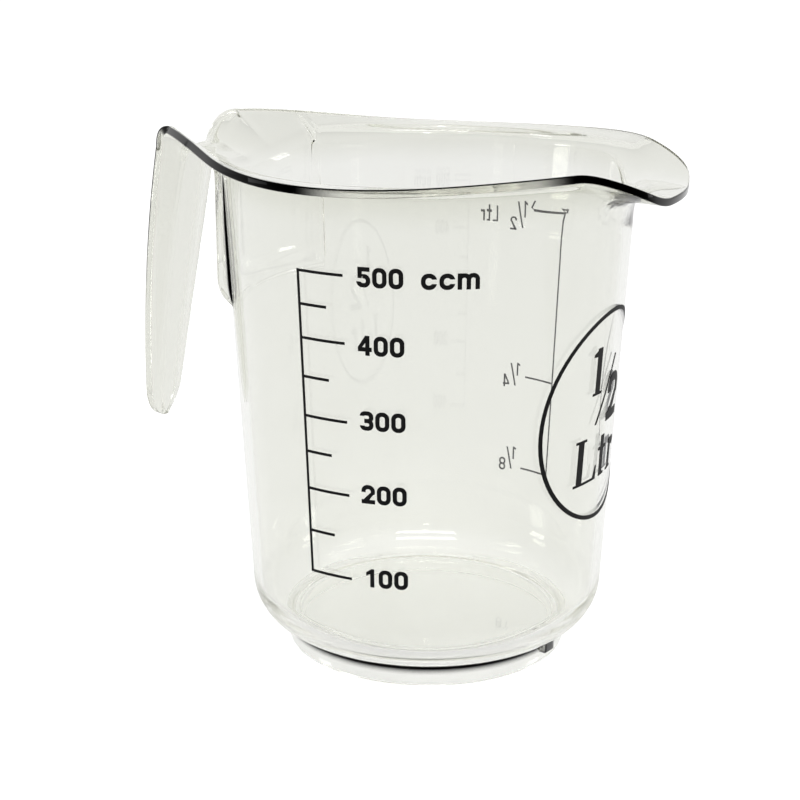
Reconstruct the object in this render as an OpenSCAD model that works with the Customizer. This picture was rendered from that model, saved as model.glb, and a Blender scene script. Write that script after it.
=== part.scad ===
/* [Bowl] */
// Height at which the bowl wall ends and the rim begins to flare
wall_top_z = 104; // [95:1:105]
// Outer radius of the bowl wall at that height
wall_top_r = 47.1; // [44:0.1:48]
// Draft of the wall, in degrees from upright
wall_draft = 3; // [1:0.5:5]
// Thickness of the wall
wall_t = 2; // [1.6:0.1:2.4]
// Thickness of the floor
floor_t = 3; // [1.6:0.1:4]
// Outer radius of the corner between floor and wall
corner_r = 11.5; // [9:0.5:13]

/* [Foot] */
// Height of the floor's underside above the table
foot_h = 4.8; // [3:0.2:8]
// How far the foot ring stands in from the wall, level with the floor's underside
foot_inset = 8.1; // [6.5:0.1:11]
// How much wider the foot ring is at its top than at the table
foot_flare = 1.2; // [0:0.1:2]
// Width of the foot ring
foot_t = 2.2; // [1.6:0.1:4]
// Reach of the small lug beyond the foot ring's top
lug_out = 1.5; // [0.6:0.1:2.4]
// Depth of the lug's lower face below the floor's underside
lug_drop = 1.2; // [0.4:0.1:2.6]
// Width of the lug
lug_w = 3.5; // [1.5:0.1:5]
// Angle of the lug's middle from the spout line
lug_middle_angle = -16.2; // [-40:0.2:0]

/* [Rim] */
// How far the rim overhangs the wall where it is narrowest, beside the lip
rim_out = 6.3; // [4.3:0.2:8.3]
// How much further the rim reaches at the jug's two sides
rim_side_out = 1.4; // [0:0.1:3]
// Angle from the spout line at which the rim is widest and lowest
rim_side_angle = 95; // [88:1:100]
// Height of the rim's edge at its lowest, at both sides of the jug, above the wall
rim_h = 14.7; // [11.7:0.2:19.7]
// Height of the corner between the wall and the rim's flat, above the wall
rim_corner_h = 14.2; // [11:0.2:17.8]
// Thickness of the rim
rim_t = 1.8; // [1.2:0.1:2.4]
// Fillet between the wall and the rim, along each leg
rim_fillet = 3; // [2.8:0.1:4]

/* [Pouring lip] */
// Reach of the lip's edge beyond the rim
lip_out = 6; // [3:0.2:12]
// Height of the lip's edge at its middle, above the wall
lip_h = 9.2; // [7.6:0.2:13]
// Height of the throat where the wall turns into the lip, above the wall
lip_throat_h = 10.2; // [8.6:0.2:13.6]
// Fillet in the throat, along each leg
lip_fillet = 8.5; // [3:0.5:9]
// Rise of the rim's shoulders beside the lip, above the low sides
shoulder_rise = 1.9; // [0:0.1:4]
// Angle from the spout line within which the lip reaches fully out
lip_flat_angle = 16; // [8:1:20]
// Angle from the spout line within which the lip's edge is lowest
lip_dip_angle = 7; // [2:1:12]
// Angle from the spout line at which the lip has run out
lip_end_angle = 35; // [28:1:42]

/* [Handle] */
// Reach of the saddle's outer end beyond the rim
saddle_out = 4.2; // [3:0.1:5.4]
// Angle from the spout line at which the rim leaves its circle toward the handle
saddle_tangent_angle = 135; // [125:1:140]
// Rise of the saddle's upturned corners above the low sides of the rim
saddle_rise = 5.1; // [3.1:0.2:7.1]
// Height of the saddle's trough at its outer end, above the wall
saddle_h = 13.5; // [11.1:0.2:17.1]
// Height at which the pocket's back turns into the saddle, above the wall
saddle_root_h = 9.5; // [7.5:0.2:11.7]
// Reach of the grip's outer corner beyond the saddle
grip_corner_out = 4.9; // [4:0.1:8]
// Height of the grip's crest at the middle, above the wall
grip_crest_h = 14.4; // [12:0.2:18]
// Reach of the grip's tip beyond its corner
grip_tip_out = 10.8; // [4:0.2:18]
// Drop of the grip's tip below the top of the wall
grip_drop = 56.2; // [34.2:0.5:74.2]
// Outward belly of the grip beyond the straight line from corner to tip
grip_belly = 1.8; // [0:0.1:8]
// Depth of the gutter that runs down the grip's outer face
grip_gutter = 2.2; // [0:0.1:4]
// Half the grip's width at its shoulders, just below the bend
grip_top_half_w = 14.3; // [12:0.1:17]
// Half the width that the grip's sides aim for halfway down
grip_half_w = 13.7; // [9:0.1:16]
// Half the width that the grip's sides aim for at its tip, before it is rounded
grip_end_half_w = 6.5; // [5:0.1:14]
// Fillet of the grip's top corner, along each leg
grip_fillet = 5.5; // [3:0.1:6.5]
// Thickness of the grip
grip_t = 1.8; // [1.2:0.1:2.4]

/* [Pocket under the saddle] */
// How far the pocket's back bulges beyond the wall
pocket_out = 2.3; // [1.9:0.1:3.4]
// Half the angle that the pocket spans
pocket_angle = 33.6; // [26:0.2:35]
// Angle taken up by each side wall of the pocket
pocket_side_angle = 2.4; // [1.6:0.1:3]
// Drop of the pocket's lower end below the top of the wall
pocket_drop = 21; // [16:0.5:40]
// Radius that closes the pocket's lower end
pocket_round = 7.5; // [5:0.5:8]

/* [Print] */
// Thickness of the ink
ink_t = 0.16; // [0.1:0.02:0.3]
// Width of the scale lines
line_w = 0.62; // [0.4:0.02:1]
// Angle of the scale's upright line from the spout line
scale_angle = -106; // [-120:1:-95]
// Height of the 100 mark
scale_low_z = 29.2; // [28:0.2:34]
// Drop of the 500 mark below the top of the wall
scale_drop = 4.9; // [3:0.1:12]
// Angle that the marks at whole hundreds span
major_angle = 13.8; // [8:0.2:14]
// Angle that the marks at fifties span
minor_angle = 8.6; // [5:0.2:10]
// Angle at which the numbers start
number_angle = -88.4; // [-91:0.2:-84]
// Height of the numbers
number_h = 4.4; // [3:0.1:6]
// Rise of the numbers 100 to 300 above the middles of their marks
number_rise = 0.85; // [0:0.05:1.2]
// Stroke of the numbers
number_w = 0.95; // [0.7:0.05:1.3]
// Angle at which the unit starts
unit_angle = -71.5; // [-73:0.5:-60]
// Height of the unit's small letters
unit_h = 3.5; // [2.5:0.1:4.5]

/* [Back scale] */
// Angle of the litre-fraction scale's upright line
back_angle = 62.3; // [55:0.5:70]
// Drop of the half-litre mark below the top of the wall
half_drop = 6; // [4:0.1:12]
// Drop of the quarter-litre mark below the half-litre mark
quarter_drop = 43; // [38:0.2:48]
// Drop of the eighth-litre mark below the quarter-litre mark
eighth_drop = 24.6; // [18:0.2:26]
// Angle that the back scale's marks span
back_mark_angle = 12; // [8:0.5:13]
// Width of the back scale's thin lines
thin_w = 0.42; // [0.3:0.02:0.6]
// Height of each figure in the back scale's fractions
small_h = 3.4; // [2.4:0.1:4]

/* [Badge] */
// Angle of the badge's middle from the spout line
badge_angle = -5; // [-15:1:15]
// Height of the badge's middle
badge_z = 62; // [58:1:68]
// Outer radius of the badge's ring
badge_r = 25; // [18:0.5:26]
// Width of the badge's ring
badge_w = 1; // [0.6:0.1:1.6]
// Height of the badge's figures and capital letter
badge_h = 11; // [8:0.5:12]
// Heavy stroke of the badge's figures and letters
badge_stroke = 2; // [1.2:0.1:2.6]

/* [Hidden] */
$fn = 144;

clear_plastic = [0.86, 0.88, 0.85, 0.4];
black_ink = [0.05, 0.05, 0.06];
// Length by which a cutting shape overruns what it cuts
overrun = 1;
// Heights of the nine marks, as shares of the way from the 100 mark to the 500 mark
mark_height_shares = [0, 0.142, 0.287, 0.412, 0.531, 0.66, 0.786, 0.894, 1];
// The rise toward the handle starts as this power of the angle travelled
saddle_rise_power = 2.2;
// and levels off as this power of the angle left
saddle_level_power = 1.7;
// Share of the grip's length, from its corner, at which the rounded end begins
grip_round_share = 0.89;
// Share of the grip's width that is left flat at the very tip
grip_tip_share = 0.2;
// Share of the half width, from the middle, over which the gutter is flat
gutter_flat_share = 0.3;
// Largest share of the line before its corner that a fillet may take up
fillet_limit_share = 0.9;
// Angle by which the lip's piece and its throat run past the end of the lip
lip_margin_angle = 8;
lip_split_angle = lip_end_angle + lip_margin_angle;

// Angle of the handle's middle from the spout line
handle_angle = 180;

wall_slope = tan(wall_draft);
function wall_r(z) = wall_top_r + (z - wall_top_z) * wall_slope;
base_top_z = foot_h + floor_t + corner_r;
foot_r = wall_r(foot_h) - foot_inset;
foot_slope = foot_flare / foot_h;
rim_r = wall_top_r + rim_out;
rim_z = wall_top_z + rim_h;
rim_corner_z = wall_top_z + rim_corner_h;
lip_reach = rim_r + lip_out;
lip_z = wall_top_z + lip_h;
lip_throat_z = wall_top_z + lip_throat_h;
saddle_x = rim_r + saddle_out;
saddle_z = wall_top_z + saddle_h;
saddle_root_z = wall_top_z + saddle_root_h;
grip_corner_x = saddle_x + grip_corner_out;
grip_crest_z = wall_top_z + grip_crest_h;
pocket_r = wall_top_r + pocket_out;
pocket_end_angle = handle_angle - pocket_angle;
pocket_bottom_z = wall_top_z - pocket_drop;
scale_high_z = wall_top_z - scale_drop;
half_z = wall_top_z - half_drop;
quarter_z = half_z - quarter_drop;
eighth_z = quarter_z - eighth_drop;
function polar(r, a, z) = [r * cos(a), r * sin(a), z];
function mix(a, b, s) = a + (b - a) * s;
// Smooth step from 0 to 1 while x runs from a to b
function ease(x, a, b) = (1 - cos(180 * max(0, min(1, (x - a) / (b - a))))) / 2;

// Rounded vessel shapes, as half outlines to be turned about the axis

module vessel_profile(z_floor, inset, round_r, z_top) {
    zc = z_floor + round_r;
    rc = wall_r(zc) - inset - round_r / cos(wall_draft);
    polygon([[0, z_floor], [rc, z_floor],
             [rc + round_r * cos(wall_draft), zc - round_r * sin(wall_draft)],
             [wall_r(z_top) - inset, z_top], [0, z_top]]);
    translate([rc, zc]) circle(round_r);
}
module outer_profile() vessel_profile(foot_h, 0, corner_r, wall_top_z);
module inner_profile()
    vessel_profile(foot_h + floor_t, wall_t, corner_r - wall_t, wall_top_z + overrun);

module foot_profile() {
    z = foot_h + corner_r / 2;
    polygon([[foot_r - foot_t, 0], [foot_r, 0], [foot_r + z * foot_slope, z],
             [foot_r - foot_t, z]]);
}
module foot_ring() {
    color(clear_plastic) rotate_extrude() difference() { foot_profile(); outer_profile(); }
}

// A small lug in the corner between foot ring and bowl, by which the jug is held in register
module register_lug() {
    lug_r = foot_r + foot_flare + lug_out;
    lug_angle = lug_w / lug_r * 180 / PI;
    color(clear_plastic) rotate([0, 0, lug_middle_angle - lug_angle / 2])
        rotate_extrude(angle = lug_angle)
        difference() {
            translate([foot_r - foot_t, foot_h - lug_drop])
                square([lug_r - foot_r + foot_t, corner_r / 2]);
            foot_profile();
            outer_profile();
        }
}

module bowl_base() {
    color(clear_plastic) rotate_extrude() intersection() {
        difference() { outer_profile(); inner_profile(); }
        square([wall_top_r + overrun, base_top_z]);
    }
}

module wedge(half_angle, r, z_low, z_high) {
    rotate([0, 0, handle_angle - half_angle]) rotate_extrude(angle = 2 * half_angle)
        translate([0, z_low]) square([r, z_high - z_low]);
}

module bowl_wall() {
    color(clear_plastic) difference() {
        rotate_extrude() polygon([
            [wall_r(base_top_z) - wall_t, base_top_z], [wall_r(base_top_z), base_top_z],
            [wall_top_r, wall_top_z], [wall_top_r - wall_t, wall_top_z]]);
        wedge(pocket_angle, pocket_r + overrun, pocket_bottom_z, wall_top_z + overrun);
    }
}

// Outline of the pocket's space, drawn in by an inset, down to its rounded lower end
module pocket_profile(inset) {
    round_r = pocket_round - inset;
    z_low = pocket_bottom_z + inset;
    intersection() {
        union() {
            translate([0, z_low + round_r]) square([pocket_r - inset, wall_top_z - z_low]);
            translate([0, z_low]) square([pocket_r - inset - round_r, round_r + overrun]);
            translate([pocket_r - inset - round_r, z_low + round_r]) circle(round_r);
        }
        translate([0, z_low]) square([pocket_r, wall_top_z - z_low + inset]);
    }
}

module handle_pocket() {
    color(clear_plastic) intersection() {
        difference() {
            rotate([0, 0, pocket_end_angle]) rotate_extrude(angle = 2 * pocket_angle) difference() {
                pocket_profile(0);
                polygon([[0, 0], [wall_r(0) - wall_t, 0],
                         [wall_top_r - wall_t, wall_top_z],
                         [wall_top_r - wall_t, wall_top_z + overrun],
                         [0, wall_top_z + overrun]]);
            }
            rotate([0, 0, pocket_end_angle + pocket_side_angle])
                rotate_extrude(angle = 2 * (pocket_angle - pocket_side_angle)) pocket_profile(wall_t);
        }
        cylinder(h = wall_top_z, r = pocket_r + overrun);
    }
}

// The rim, lip and saddle are one flaring sheet. At each angle from the spout line its
// section runs up the inside of the wall, round a fillet and out to the edge.

saddle_half_w = rim_r / cos(45) - saddle_x;
saddle_corner_angle = handle_angle - atan(saddle_half_w / saddle_x);

function in_pocket(a) = 1 - ease(handle_angle - a, pocket_angle - pocket_side_angle, pocket_angle);
function root_r(a) = mix(wall_top_r, pocket_r, in_pocket(a)) - wall_t;
function root_slope(a) = wall_slope * (1 - in_pocket(a));
function side_share(a) =
    1 - ease(abs(a - rim_side_angle), 0, saddle_tangent_angle - rim_side_angle);
function edge_r(a) =
    a > saddle_corner_angle ? saddle_x / cos(handle_angle - a)
    : a > saddle_tangent_angle ? rim_r / cos(a - saddle_tangent_angle)
    : mix(lip_reach, rim_r + rim_side_out * side_share(a), ease(a, lip_flat_angle, lip_end_angle));
function shoulder_z(a) =
    rim_z + shoulder_rise * ease(rim_side_angle - a, 0, rim_side_angle - lip_end_angle);
// How far the gutter has turned up at share u of its half width
function gutter(u) = ease(abs(u), gutter_flat_share, 1);
function rise_to_handle(a) = a < rim_side_angle ? 0
    : let (share = min(1, (a - rim_side_angle) / (saddle_corner_angle - rim_side_angle)))
      saddle_rise * (1 - pow(1 - pow(share, saddle_rise_power), saddle_level_power));
function edge_z(a) =
    a > saddle_corner_angle
        ? mix(saddle_z, rim_z + saddle_rise,
              gutter(tan(handle_angle - a) * saddle_x / saddle_half_w))
    : mix(lip_z, shoulder_z(a), ease(a, lip_dip_angle, lip_end_angle)) + rise_to_handle(a);
function corner_z(a) =
    a > pocket_end_angle
        ? mix(saddle_root_z, rim_corner_z, pow((handle_angle - a) / pocket_angle, 2))
    : mix(lip_throat_z, rim_corner_z, ease(a, lip_flat_angle, lip_split_angle));
function fillet(a) = min(mix(lip_fillet, rim_fillet, ease(a, lip_flat_angle, lip_split_angle)),
                         (corner_z(a) - wall_top_z) * fillet_limit_share);

function bezier3(a, b, c, s) = (1 - s) * (1 - s) * a + 2 * s * (1 - s) * b + s * s * c;
function unit2(v) = v / norm(v);
fillet_steps = 6;
flat_steps = 3;
// Points of the sheet's upper face at one angle, as radius and height
function rim_path(angle) =
    let (a = abs(angle), root = [root_r(a), wall_top_z],
         corner = [root_r(a) + (corner_z(a) - wall_top_z) * root_slope(a), corner_z(a)],
         edge = [edge_r(a), edge_z(a)],
         start = corner - unit2(corner - root) * fillet(a),
         end = corner + unit2(edge - corner) * fillet(a))
    [root, for (i = [0 : fillet_steps]) bezier3(start, corner, end, i / fillet_steps),
     for (i = [1 : flat_steps]) mix(end, edge, i / flat_steps)];
// Direction through the sheet's thickness at point k of a path
function path_out(path, k, last_dir) =
    k == 0 ? [1, 0]
    : k == len(path) - 1 ? last_dir
    : let (d = unit2(path[k + 1] - path[k - 1])) [d[1], -d[0]];
function edge_dir(path, a) =
    a >= saddle_corner_angle ? [0, -1]
    : let (n = len(path) - 1, d = unit2(path[n] - path[n - 1])) [d[1], -d[0]];
function rim_section(angle) =
    let (path = rim_path(angle), n = len(path) - 1, last_dir = edge_dir(path, abs(angle)))
    [for (k = [0 : n]) [path[k], path[k] + path_out(path, k, last_dir)
                                 * mix(wall_t, rim_t, k / n)]];

// A thick sheet from rings of [upper point, lower point] pairs, all rings alike in count
module sheet(rings) {
    m = len(rings[0]);
    n = len(rings);
    points = [for (ring = rings) for (pair = ring) for (p = pair) p];
    function at(i, k, side) = 2 * (i * m + k) + side;
    quads = [
        for (i = [0 : n - 2]) for (k = [0 : m - 2])
            [at(i, k, 0), at(i, k + 1, 0), at(i + 1, k + 1, 0), at(i + 1, k, 0)],
        for (i = [0 : n - 2]) for (k = [0 : m - 2])
            [at(i, k, 1), at(i + 1, k, 1), at(i + 1, k + 1, 1), at(i, k + 1, 1)],
        for (i = [0 : n - 2])
            [at(i, 0, 1), at(i, 0, 0), at(i + 1, 0, 0), at(i + 1, 0, 1)],
        for (i = [0 : n - 2])
            [at(i, m - 1, 0), at(i, m - 1, 1), at(i + 1, m - 1, 1), at(i + 1, m - 1, 0)],
        for (k = [0 : m - 2])
            [at(0, k, 1), at(0, k + 1, 1), at(0, k + 1, 0), at(0, k, 0)],
        for (k = [0 : m - 2])
            [at(n - 1, k, 0), at(n - 1, k + 1, 0), at(n - 1, k + 1, 1), at(n - 1, k, 1)]];
    polyhedron(points, [for (q = quads) for (t = [[0, 1, 2], [0, 2, 3]])
                            [q[t[0]], q[t[1]], q[t[2]]]]);
}
module rim_sheet(angles) {
    sheet([for (a = angles) [for (pair = rim_section(a))
                [for (p = pair) polar(p[0], a, p[1])]]]);
}
function spread(from, to, count) = [for (i = [0 : count]) mix(from, to, i / count)];

module pouring_lip() {
    color(clear_plastic) rim_sheet(spread(-lip_split_angle, lip_split_angle, 28));
}
module rim_near() {
    color(clear_plastic) rim_sheet(spread(-saddle_tangent_angle, -lip_split_angle, 20));
}
module rim_far() {
    color(clear_plastic) rim_sheet(spread(lip_split_angle, saddle_tangent_angle, 20));
}
half_saddle = concat(spread(saddle_tangent_angle, pocket_end_angle, 4),
                     spread(pocket_end_angle + pocket_side_angle / 4,
                            pocket_end_angle + pocket_side_angle, 3),
                     spread(pocket_end_angle + 2 * pocket_side_angle, saddle_corner_angle, 3),
                     spread(mix(saddle_corner_angle, handle_angle, 1 / 12), handle_angle, 11));
module handle_saddle() {
    near_half = [for (i = [len(half_saddle) - 2 : -1 : 0]) 2 * handle_angle - half_saddle[i]];
    color(clear_plastic) sheet([for (a = concat(half_saddle, near_half))
        let (section = rim_section(handle_angle - abs(handle_angle - a)))
        [for (pair = section) [for (p = pair) polar(p[0], a, p[1])]]]);
}

// The grip is the saddle's sheet turned downward. Its middle line and its edge line are
// two paths of [distance from the axis, height], and every place across it lies between.

function corner_path(start, corner, tip) =
    let (belly = (corner + tip) / 2 + [grip_belly, 0],
         leg = min(grip_fillet, norm(start - corner) * fillet_limit_share),
         a = corner + unit2(start - corner) * leg,
         b = corner + unit2(belly - corner) * grip_fillet)
    [start, for (i = [0 : fillet_steps]) bezier3(a, corner, b, i / fillet_steps),
     for (i = [1 : blade_steps]) bezier3(b, belly, tip, blade_share(i / blade_steps))];
blade_steps = 16;
function blade_share(s) = sin(90 * s);
grip_tip = [grip_corner_x + grip_tip_out, wall_top_z - grip_drop];
edge_top_z = rim_z + saddle_rise;
middle_path = corner_path([saddle_x, saddle_z], [grip_corner_x - grip_gutter / 2, grip_crest_z],
                          grip_tip - [grip_gutter, 0] / 4);
edge_path = corner_path([saddle_x, edge_top_z], [grip_corner_x, edge_top_z], grip_tip);
bend_steps = fillet_steps + 1;
// Half the grip's width at point k of its paths: round the bend first, then down the blade
function grip_width(k) =
    k < bend_steps ? mix(saddle_half_w, grip_top_half_w, k / bend_steps)
    : let (s = blade_share((k - bend_steps) / blade_steps),
           end_s = max(0, (s - grip_round_share) / (1 - grip_round_share)))
      bezier3(grip_top_half_w, grip_half_w, grip_end_half_w, s)
      * max(grip_tip_share, sqrt(1 - end_s * end_s));
function grip_out(k) =
    k == 0 ? [0, -1]
    : let (n = len(edge_path) - 1, a = max(k - 1, 0), b = min(k + 1, n),
           d = unit2(edge_path[b] - edge_path[a] + middle_path[b] - middle_path[a]))
      [d[1], -d[0]];
module handle_grip() {
    across = spread(-1, 1, 24);
    color(clear_plastic) sheet([for (u = across) [for (k = [0 : len(edge_path) - 1])
        let (p = mix(middle_path[k], edge_path[k], gutter(u)), y = -u * grip_width(k),
             q = p + grip_out(k) * grip_t)
        [[-p[0], y, p[1]], [-q[0], y, q[1]]]]]);
}

// Ink lies on the outside of the bowl's straight wall

module ink_band(from_angle, to_angle, z_low, z_high) {
    rotate([0, 0, from_angle]) rotate_extrude(angle = to_angle - from_angle)
        polygon([[wall_r(z_low), z_low], [wall_r(z_low) + ink_t, z_low],
                 [wall_r(z_high) + ink_t, z_high], [wall_r(z_high), z_high]]);
}
function line_angle(w, z) = w / wall_r(z) * 180 / PI;
module mark_line(from_angle, to_angle, z, w) ink_band(from_angle, to_angle, z - w / 2, z + w / 2);
module upright_line(a, z_low, z_high, w)
    ink_band(a - line_angle(w, z_high) / 2, a + line_angle(w, z_high) / 2,
             z_low - w / 2, z_high + w / 2);
// Flat artwork, printed straight onto the wall around its own origin
module printed(a, z, half_w, half_h) {
    span = line_angle(half_w + overrun, z);
    intersection() {
        ink_band(a - span, a + span, z - half_h - ink_t, z + half_h + ink_t);
        rotate([0, 0, a]) translate([wall_r(z) / 2, 0, z]) rotate([90, 0, 90])
            linear_extrude(wall_top_r) children();
    }
}

// Figures and letters, each drawn in a box whose lower left corner is the origin

// Share of a rounded shape's smaller side that the corner radius takes
glyph_round_share = 0.46;
module slab(w, h) {
    r = min(w, h) * glyph_round_share;
    translate([r, 0]) square([w - 2 * r, h]);
    translate([0, r]) square([w, h - 2 * r]);
    for (x = [r, w - r], y = [r, h - r]) translate([x, y]) circle(r);
}
module loop_of(w, h, stroke) {
    difference() {
        slab(w, h);
        translate([stroke, stroke]) slab(w - 2 * stroke, h - 2 * stroke);
    }
}
module bar(x, y, w, h) translate([x, y]) square([w, h]);
module figure_0(w, h, t) loop_of(w, h, t);
module figure_1(w, h, t) {
    x = w / 2;
    polygon([[x, 0], [x + t, 0], [x + t, h], [x + t * 0.3, h], [w / 5, h - t * 0.9],
             [w / 5, h - t * 1.8], [x, h - t * 1.3]]);
}
module figure_2(w, h, t) {
    bar(0, 0, w, t);
    difference() {
        translate([0, h - w]) loop_of(w, w, t);
        bar(-t, h - w - t, w * 0.62 + t, w / 2 + t * 0.8);
        bar(-t, h - w - t, w + 2 * t, w * 0.3 + t);
    }
    polygon([[0, t / 2], [t * 1.5, t / 2], [w, h - w * 0.55], [w - t * 1.2, h - w * 0.6]]);
}
module figure_3(w, h, t) {
    half = h / 2 + t / 2;
    difference() {
        union() {
            loop_of(w, half, t);
            translate([0, h - half]) loop_of(w, half, t);
        }
        bar(-t, half / 2 - t / 4, w * 0.45 + t, h - half + t / 2);
    }
    bar(w * 0.34, h / 2 - t / 2, w * 0.36, t);
}
module figure_4(w, h, t) {
    x = w - 1.5 * t;
    y = h / 5;
    difference() {
        polygon([[x, 0], [x + t, 0], [x + t, y], [w, y], [w, y + t], [x + t, y + t], [x + t, h],
                 [x, h], [0, y + t], [0, y], [x, y]]);
        polygon([[t, y + t], [x, y + t], [x, h - (h - y - t) * 1.1 * t / x]]);
    }
}
module figure_5(w, h, t) {
    bar(0.1 * w, h - t, 0.86 * w, t);
    bar(0.1 * w, h * 0.45, t, h * 0.5);
    difference() {
        loop_of(w, h * 0.66, t);
        bar(-t, t * 1.3, t + w * 0.45, h * 0.27);
    }
}
module figure_8(w, h, t) {
    half = h / 2 + t / 2;
    loop_of(w, half, t);
    translate([0, h - half]) loop_of(w, half, t);
}
module letter_c(w, h, t) {
    difference() {
        loop_of(w, h, t);
        bar(w / 2, h * 0.36, w, h * 0.28);
    }
}
module letter_m(w, h, t) {
    gap = (w - 3 * t) / 2;
    for (i = [0, 1]) translate([i * (t + gap), 0]) difference() {
        slab(gap + 2 * t, h);
        translate([t, -h]) slab(gap, 2 * h - t);
        bar(-t, -h / 2, w + 2 * t, h / 2);
    }
    for (i = [0 : 2]) bar(i * (t + gap), 0, t, h * 0.7);
    bar(0, 0, t, h);
}
module slash(w, h, t) polygon([[0, 0], [t, 0], [w, h], [w - t, h]]);

number_step = number_h * 0.8;
figure_w = number_h * 0.7;
module three_figures(first) {
    translate([0, -number_h / 2]) {
        if (first == 1) figure_1(figure_w, number_h, number_w);
        if (first == 2) figure_2(figure_w, number_h, number_w);
        if (first == 3) figure_3(figure_w, number_h, number_w);
        if (first == 4) figure_4(figure_w, number_h, number_w);
        if (first == 5) figure_5(figure_w, number_h, number_w);
        for (i = [1, 2]) translate([i * number_step, 0]) figure_0(figure_w, number_h, number_w);
    }
}
number_half_w = number_step + figure_w / 2;
function mark_z_of(i) = mix(scale_low_z, scale_high_z, mark_height_shares[i]);
module number(first) {
    z = mark_z_of(2 * (first - 1)) + (first < 4 ? number_rise : 0);
    color(black_ink) printed(number_angle + line_angle(number_half_w, z), z, number_half_w, number_h / 2)
        translate([-number_half_w, 0]) three_figures(first);
}

module scale_line() color(black_ink) upright_line(scale_angle, scale_low_z, scale_high_z, line_w);
marks_from_angle = scale_angle + line_angle(line_w, scale_high_z) / 2;
module scale_marks(first, length_angle) {
    color(black_ink) for (i = [first : 2 : len(mark_height_shares) - 1])
        mark_line(marks_from_angle, scale_angle + length_angle, mark_z_of(i), line_w);
}

unit_w = unit_h * 0.95;
unit_m_w = unit_h * 1.35;
unit_gap = unit_h * 0.14;
unit_half_w = unit_w + unit_gap + unit_m_w / 2;
module unit_ccm() {
    z = scale_high_z - number_h / 2 + unit_h / 2;
    color(black_ink) printed(unit_angle + line_angle(unit_half_w, z), z, unit_half_w, unit_h / 2)
        translate([-unit_half_w, -unit_h / 2]) {
            for (i = [0, 1]) translate([i * (unit_w + unit_gap), 0])
                letter_c(unit_w, unit_h, number_w);
            translate([2 * (unit_w + unit_gap), 0]) letter_m(unit_m_w, unit_h, number_w);
        }
}

module back_scale_line() color(black_ink) upright_line(back_angle, eighth_z, half_z, thin_w);
back_marks_from = back_angle + line_angle(thin_w, half_z) / 2;
module back_scale_marks() {
    color(black_ink) {
        for (z = [half_z, quarter_z, eighth_z])
            mark_line(back_marks_from, back_angle + back_mark_angle, z, thin_w);
        z = half_z + thin_w;
        a = back_angle + back_mark_angle;
        printed(a, z, small_h / 2, small_h / 2)
            polygon([[0, -thin_w], [small_h / 4, 0], [0, small_h / 2 - thin_w],
                     [-thin_w, small_h / 2 - thin_w], [small_h / 4 - thin_w, 0]]);
    }
}
small_w = small_h * 0.55;
small_gap_angle = 2.4;
// A small fraction: a raised 1, a slash and a lowered figure
module small_fraction(z, below) {
    a = back_angle + back_mark_angle + small_gap_angle;
    half_w = small_w * 1.35;
    color(black_ink) printed(a + line_angle(half_w, z), z, half_w, small_h)
        translate([-half_w, 0]) {
            translate([-small_w / 4, 0]) figure_1(small_w, small_h, thin_w);
            translate([small_w * 0.55, -small_h * 0.8]) slash(small_w, small_h * 1.7, thin_w);
            translate([small_w * 1.65, -small_h]) {
                if (below == 2) figure_2(small_w, small_h, thin_w);
                if (below == 4) figure_4(small_w, small_h, thin_w);
                if (below == 8) figure_8(small_w, small_h, thin_w);
            }
        }
}
fraction_drop = small_h * 0.6;
module back_unit() {
    a = back_angle + back_mark_angle + small_gap_angle + line_angle(small_w * 6, half_z);
    z = half_z - fraction_drop;
    half_w = small_w * 1.4;
    color(black_ink) printed(a, z, half_w, small_h * 0.6) translate([-half_w, -small_h / 2])
        plain_litre(small_w, small_h, thin_w);
}
module plain_litre(w, h, t) {
    bar(0, 0, t, h);
    bar(0, 0, w * 0.8, t);
    bar(w * 1.2, 0, t, h);
    bar(w * 0.95, h * 0.62, w * 0.75, t);
    bar(w * 1.2, 0, w * 0.5, t);
    bar(w * 2, 0, t, h * 0.7);
    bar(w * 2, h * 0.7 - t, w * 0.6, t);
}

// A circle of the wall's own surface, as the outline that printing straight through gives
ring_steps = 72;
function wrapped_circle(r, z) = [for (i = [0 : ring_steps - 1])
    let (t = 360 * i / ring_steps) [wall_r(z) * sin(line_angle(r * cos(t), z)), r * sin(t)]];
module badge_ring() {
    color(black_ink) printed(badge_angle, badge_z, badge_r, badge_r) difference() {
        polygon(wrapped_circle(badge_r, badge_z));
        polygon(wrapped_circle(badge_r - badge_w, badge_z));
    }
}
// Letters with a heavy upright and thin end strokes
module serif_upright(x, h, t) {
    bar(x, 0, t, h);
    bar(x - t * 0.5, 0, 2 * t, t * 0.3);
}
module serif_1(h, t) {
    serif_upright(0, h, t);
    polygon([[t / 2, h], [t / 2, h - t], [-t * 0.8, h - t * 0.9], [-t * 0.8, h - t * 0.6]]);
}
module serif_l(w, h, t) {
    serif_upright(t / 2, h, t);
    bar(0, h - t * 0.3, 2 * t, t * 0.3);
    bar(0, 0, w, t * 0.3);
    polygon([[w - t * 0.8, 0], [w, 0], [w, h * 0.3], [w - t * 0.2, h * 0.3]]);
}
module serif_t(h, t) {
    bar(0, 0, t, h);
    bar(-t * 0.7, h * 0.66, 2.4 * t, t * 0.4);
    bar(0, 0, t * 1.6, t * 0.35);
}
module serif_r(h, t) {
    serif_upright(0, h, t);
    bar(t / 2, h - t * 0.5, t * 1.1, t * 0.5);
    translate([t * 1.7, h - t * 0.6]) circle(t * 0.6);
}
fraction_half_w = badge_h * 0.9;
module badge_half() {
    z = badge_z + badge_h * 0.67;
    color(black_ink) printed(badge_angle, z, fraction_half_w, badge_h) {
        translate([-badge_h * 0.62, -badge_h * 0.14]) serif_1(badge_h, badge_stroke);
        translate([-badge_h * 0.52, -badge_h * 0.8])
            slash(badge_h * 0.9, badge_h * 1.35, badge_stroke * 0.35);
        translate([badge_h * 0.04, -badge_h * 0.86]) figure_2(badge_h * 0.72, badge_h, badge_stroke);
    }
}
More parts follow.
